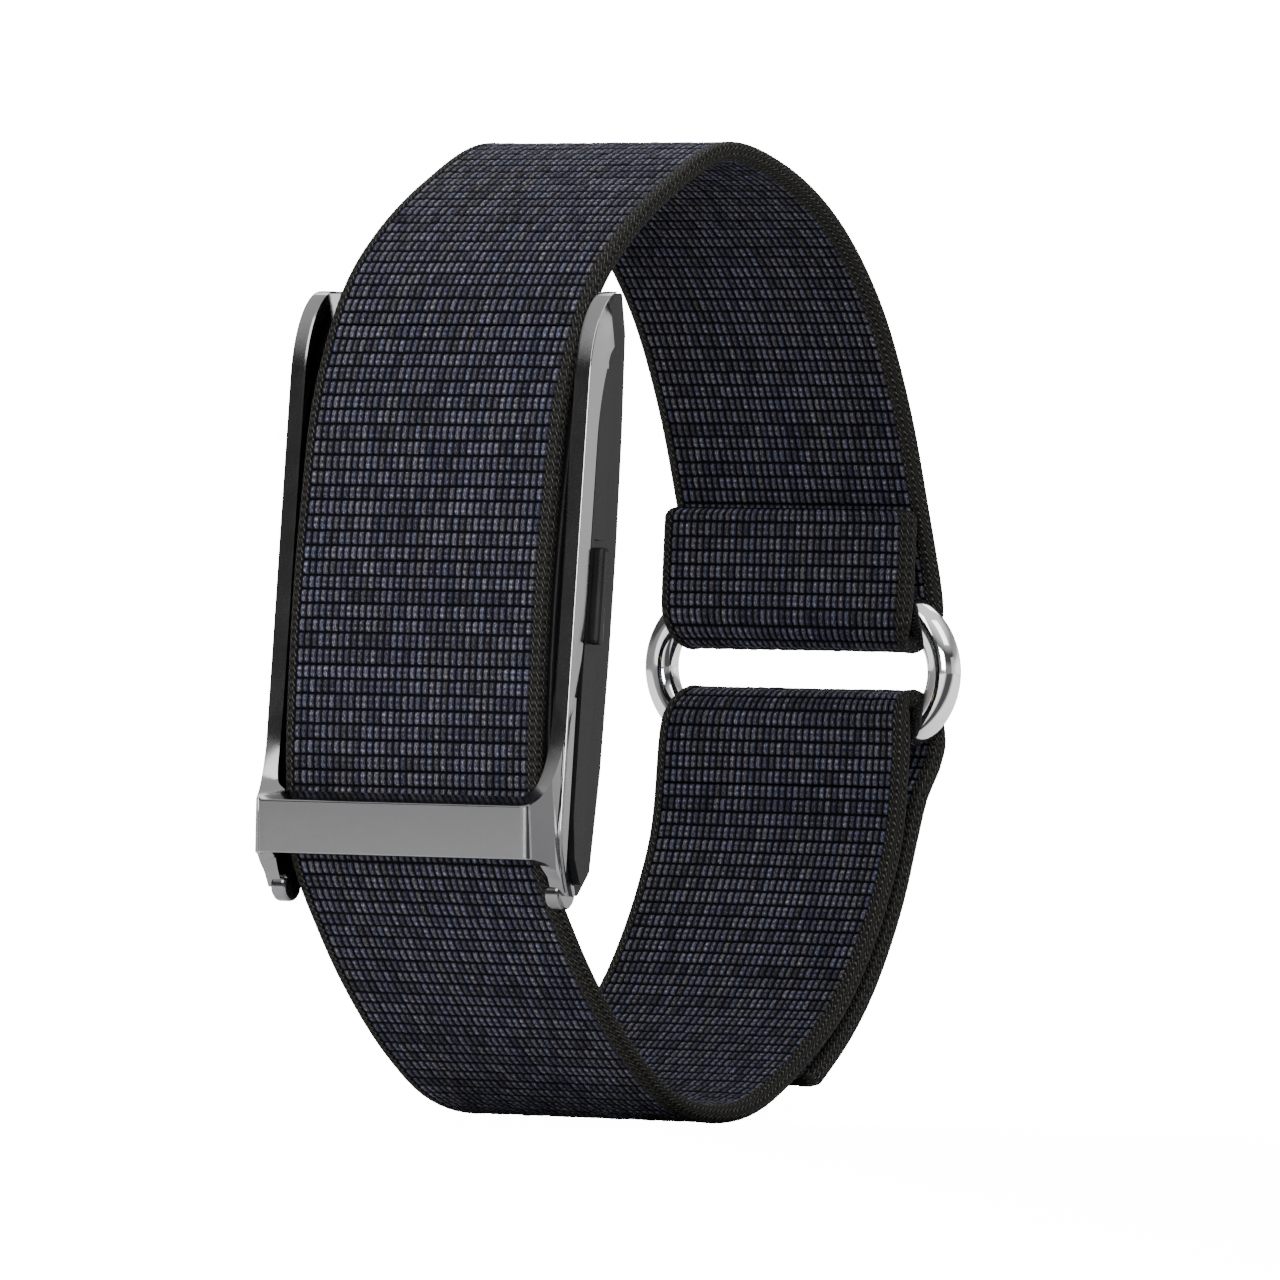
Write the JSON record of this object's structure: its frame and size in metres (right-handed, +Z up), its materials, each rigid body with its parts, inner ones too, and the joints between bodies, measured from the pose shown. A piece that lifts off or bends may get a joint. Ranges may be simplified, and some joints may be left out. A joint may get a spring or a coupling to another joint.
{
  "type": "fitness tracker band",
  "caption": "Screenless wrist tracker: sensor pod with hinged metal clasp on a woven strap that folds round a steel ring and closes with a hook-and-loop tail.",
  "frame": {"origin": "bottom centre of the bounding box, on the surface that the band stands on", "axes": "+X across the strap towards the button, +Y from the pod's front towards the back of the wrist, +Z up"},
  "size_m": [0.0274, 0.0573, 0.071],
  "materials": {
    "webbing": "navy and charcoal woven webbing with dark selvedges",
    "hook_tape": "black hook tape",
    "gunmetal": "polished dark gunmetal coating",
    "polished_steel": "polished",
    "black_plastic": "satin black",
    "rubber": "matt black",
    "window": "dark tinted, glossy",
    "gold": "gold plated",
    "board": "green solder mask",
    "chip": "black moulded",
    "shield": "tin plated",
    "cell": "silver pouch foil",
    "foam": "open foam",
    "led": "clear green",
    "photodiode": "dark blue, glossy"
  },
  "bodies": {
    "band": {"strap_main": "webbing", "hinge_pin_left": "polished_steel", "hinge_pin_right": "polished_steel", "front_shell": "black_plastic", "rear_housing": "black_plastic", "shell_gasket": "rubber", "sensor_window": "window", "light_baffle": "chip", "green_led_1": "led", "green_led_2": "led", "photodiode_1": "photodiode", "photodiode_2": "photodiode", "sensor_board": "board", "charge_contact_1": "gold", "charge_contact_2": "gold", "main_board": "board", "processor": "chip", "radio_module": "shield", "memory_chip": "chip", "motion_sensor": "chip", "battery_connector": "chip", "battery_cell": "cell", "battery_pad": "foam", "motor_case": "shield", "button_seal": "rubber", "button_switch": "shield"},
    "clasp": {"clasp_frame": "gunmetal"},
    "button": {"side_button": "black_plastic"},
    "ring": {"ring": "polished_steel"},
    "tail": {"strap_tail": "webbing", "hook_patch": "hook_tape"},
    "motor_rotor": {"motor_weight": "polished_steel"}
  },
  "joints": [
    {"name": "clasp_hinge", "type": "hinge", "parent": "band", "child": "clasp", "pos_m": [0, -0.01945, 0.05496], "axis": [-1, 0, 0], "range_deg": [0, 85]},
    {"name": "button_press", "type": "slide", "parent": "band", "child": "button", "axis": [-1, 0, 0], "range_m": [0, 0.0004], "stiffness_N_per_m": 400},
    {"name": "ring_swivel", "type": "hinge", "parent": "band", "child": "ring", "pos_m": [0, 0.0256, 0.03677], "axis": [1, 0, 0], "range_deg": [-2, 2]},
    {"name": "tail_peel", "type": "hinge", "parent": "band", "child": "tail", "pos_m": [0, 0.02802, 0.02645], "axis": [1, 0, 0], "range_deg": [0, 70]},
    {"name": "motor_spin", "type": "hinge", "parent": "band", "child": "motor_rotor", "pos_m": [0.0052, -0.01959, 0.0444], "axis": [0, 0.9932, -0.1167], "continuous": true}
  ]
}
